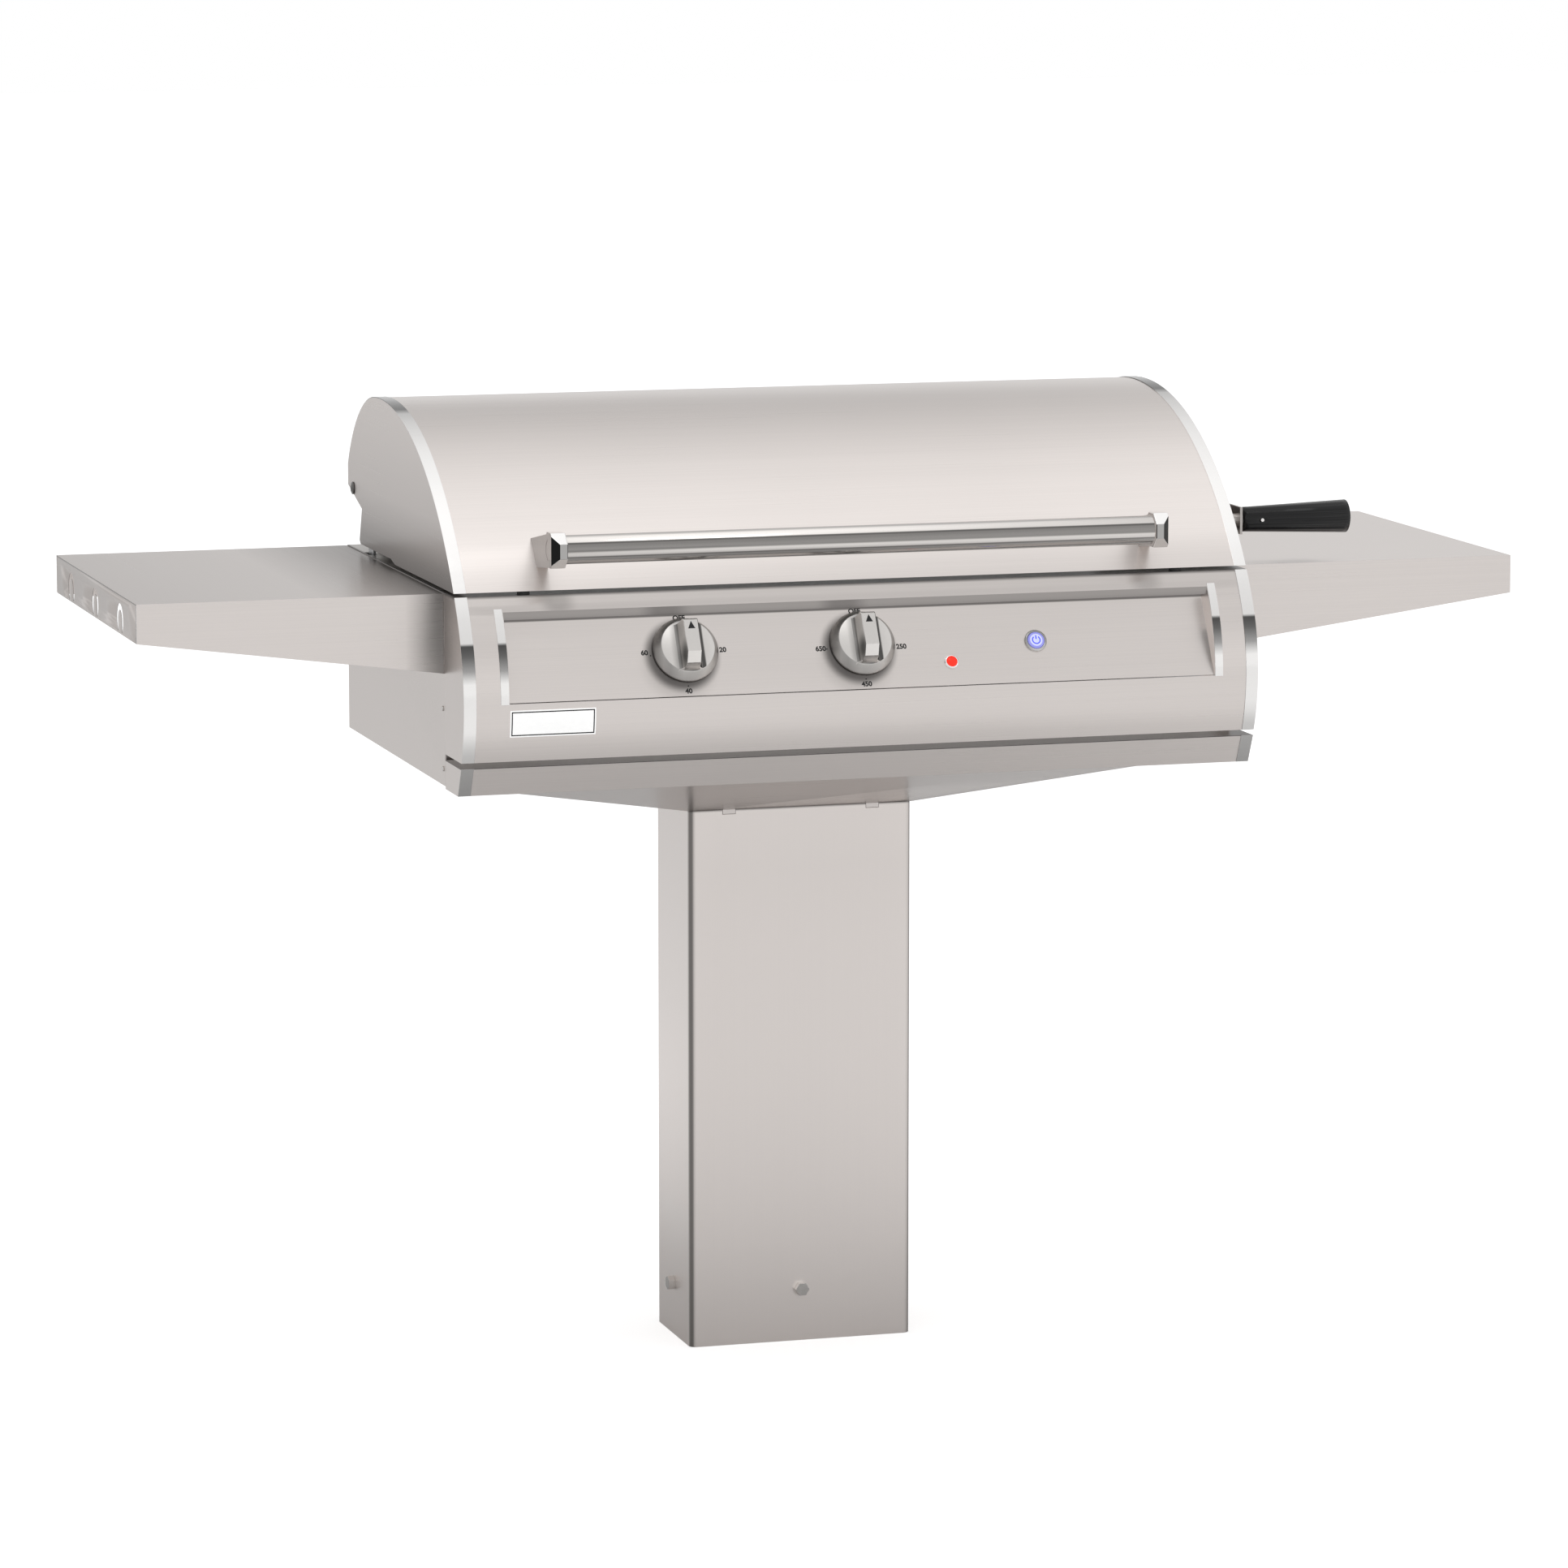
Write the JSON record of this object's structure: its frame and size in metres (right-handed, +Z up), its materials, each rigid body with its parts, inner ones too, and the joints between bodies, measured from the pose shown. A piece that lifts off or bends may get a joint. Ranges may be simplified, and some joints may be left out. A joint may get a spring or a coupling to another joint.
{
  "type": "park bbq grill pedestal",
  "caption": "Stainless steel electric grill on an anchored square post, with a hinged hood, a tilted control panel and a folded side shelf on each side.",
  "frame": {"origin": "centre of the post on the ground", "axes": "+X to the user's right, +Y from the controls to the back, +Z up"},
  "size_m": [1.6088, 0.5853, 1.1007],
  "materials": {
    "stainless": "horizontal brushed grain",
    "polished_steel": "mirror polish",
    "inner_steel": "dull mill finish",
    "zinc_steel": "zinc plated",
    "fasteners": "machined",
    "element_sheath": "oxidised sheath",
    "ceramic": "glazed",
    "grate_steel": "dull",
    "control_plastic": "moulded",
    "knob_metal": "satin plated",
    "button_metal": "fine brushed",
    "lamp_red": "clear red lens",
    "plate": "bare white plate with a thin dark border",
    "handle_steel": "brushed along its length",
    "bumper_rubber": "soft",
    "grip_plastic": "high gloss"
  },
  "bodies": {
    "frame": {"post_column": "stainless", "anchor_bracket": "zinc_steel", "post_bolts": "fasteners", "support_hopper": "stainless", "hopper_screws": "fasteners", "body_shell": "stainless", "cooking_well": "inner_steel", "back_riser": "inner_steel", "hinge_brackets": "zinc_steel", "hinge_bolts": "polished_steel", "hinge_spacers": "fasteners", "hinge_nuts": "fasteners", "drip_tray": "inner_steel", "heating_element": "element_sheath", "element_supports": "inner_steel", "terminal_blocks": "ceramic", "thermostat_probe": "inner_steel", "grate_left": "grate_steel", "grate_right": "grate_steel", "front_ledge": "stainless", "ledge_strips": "polished_steel", "seam_screws": "fasteners", "fascia_shell": "stainless", "control_panel": "stainless", "recess_strips": "polished_steel", "fascia_trims": "polished_steel", "heat_shield": "zinc_steel", "timer_body": "control_plastic", "thermostat_body": "control_plastic", "power_bezel": "polished_steel", "power_switch": "control_plastic", "lamp_bezel": "polished_steel", "lamp_lens": "lamp_red", "nameplate": "plate", "hood_bumpers": "bumper_rubber", "shelf_left": "stainless", "shelf_hooks": "stainless", "shelf_right": "stainless", "shelf_bolts": "fasteners", "junction_box": "zinc_steel", "supply_gland": "control_plastic"},
    "hood": {"hood_skin": "stainless", "hood_side_left": "stainless", "hood_side_right": "stainless", "hood_liner": "inner_steel", "hood_trims": "polished_steel", "handle_tube": "handle_steel", "handle_blocks": "polished_steel", "handle_arms": "stainless", "handle_screws": "fasteners", "side_handle_arm": "stainless", "side_handle_grip": "grip_plastic", "side_handle_rod": "fasteners", "side_handle_pin": "polished_steel", "side_handle_screws": "fasteners"},
    "timer": {"timer_knob": "knob_metal", "timer_shaft": "fasteners"},
    "temperature": {"temperature_knob": "knob_metal", "thermostat_shaft": "fasteners"},
    "power": {"power_button": "button_metal"}
  },
  "joints": [
    {"name": "hood_hinge", "type": "hinge", "parent": "frame", "child": "hood", "pos_m": [0, 0.201, 0.9835], "axis": [-1, 0, 0], "range_deg": [0, 90]},
    {"name": "timer_turn", "type": "hinge", "parent": "frame", "child": "timer", "pos_m": [-0.203, -0.3016, 0.8473], "axis": [0, 0.8778, -0.4791], "range_deg": [0, 270]},
    {"name": "temperature_turn", "type": "hinge", "parent": "frame", "child": "temperature", "pos_m": [0.0015, -0.3016, 0.8473], "axis": [0, 0.8778, -0.4791], "range_deg": [0, 270]},
    {"name": "power_press", "type": "slide", "parent": "frame", "child": "power", "axis": [0, 0.8778, -0.4791], "range_m": [0, 0.002], "stiffness_N_per_m": 600, "springref_m": -0.001}
  ]
}
